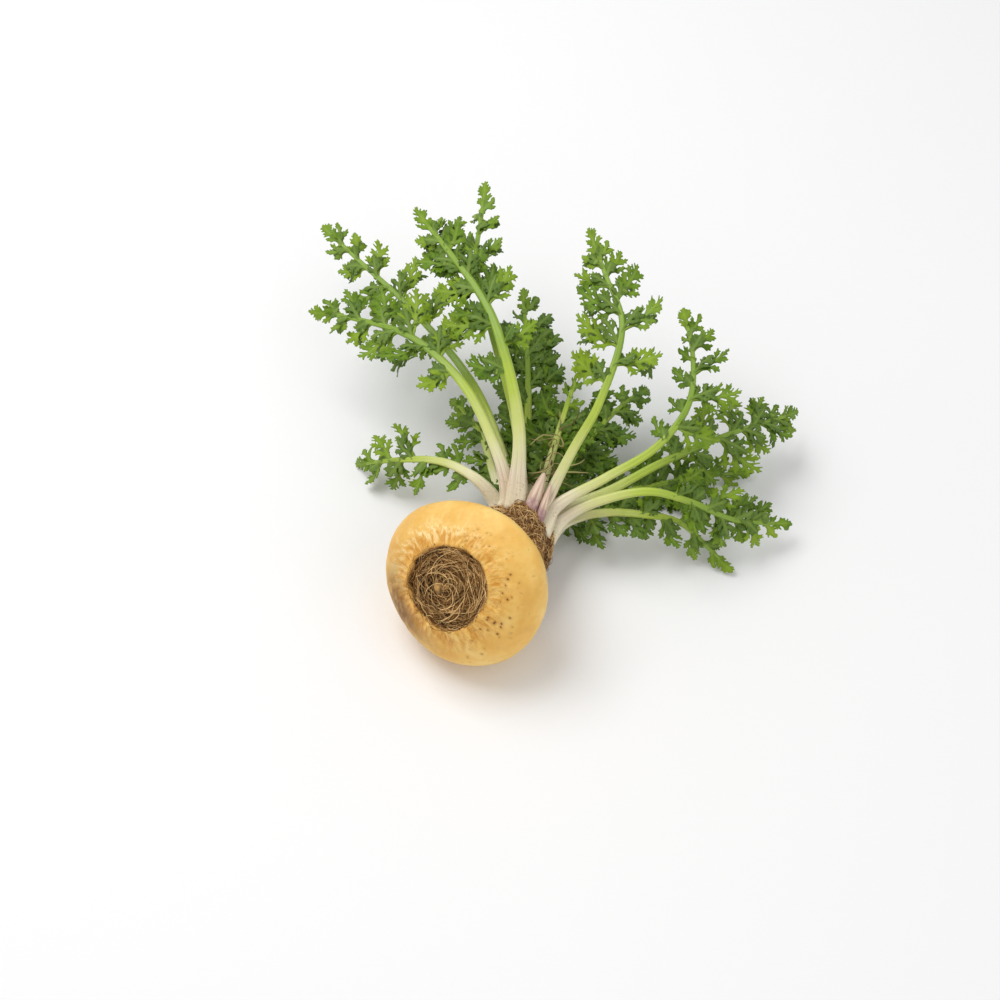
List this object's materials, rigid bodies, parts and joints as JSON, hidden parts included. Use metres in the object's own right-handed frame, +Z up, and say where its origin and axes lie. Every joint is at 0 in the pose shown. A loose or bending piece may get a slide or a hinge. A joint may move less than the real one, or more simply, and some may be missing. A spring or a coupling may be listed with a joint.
{
  "type": "maca root",
  "caption": "Fresh maca root as picked, lying on its side: a golden swollen root with a dark scar of fine rootlets, a collar of soil round the crown and a rosette of finely cut green leaves.",
  "frame": {"origin": "on the small flat spot under the swollen root, on the surface that it rests on", "axes": "+Z up, +X to the right and +Y away from the viewer, who sees the scar at the front left and the leaves behind"},
  "size_m": [0.1551, 0.1576, 0.0648],
  "materials": {
    "root_skin": "satin",
    "rootlet_mat": "matte",
    "collar_soil": "matte",
    "leaf_green": "matte",
    "young_sheath": "satin"
  },
  "bodies": {
    "root": {"root_body": "root_skin", "root_scar": "rootlet_mat", "crown_collar": "collar_soil", "leaf_01": "leaf_green", "leaf_02": "leaf_green", "leaf_03": "leaf_green", "leaf_04": "leaf_green", "leaf_05": "leaf_green", "leaf_06": "leaf_green", "leaf_07": "leaf_green", "leaf_08": "leaf_green", "leaf_09": "leaf_green", "leaf_10": "leaf_green", "leaf_11": "leaf_green", "leaf_12": "leaf_green", "leaf_13": "leaf_green", "leaf_14": "leaf_green", "leaf_15": "leaf_green", "shoot_01": "young_sheath", "shoot_02": "young_sheath"}
  },
  "joints": []
}
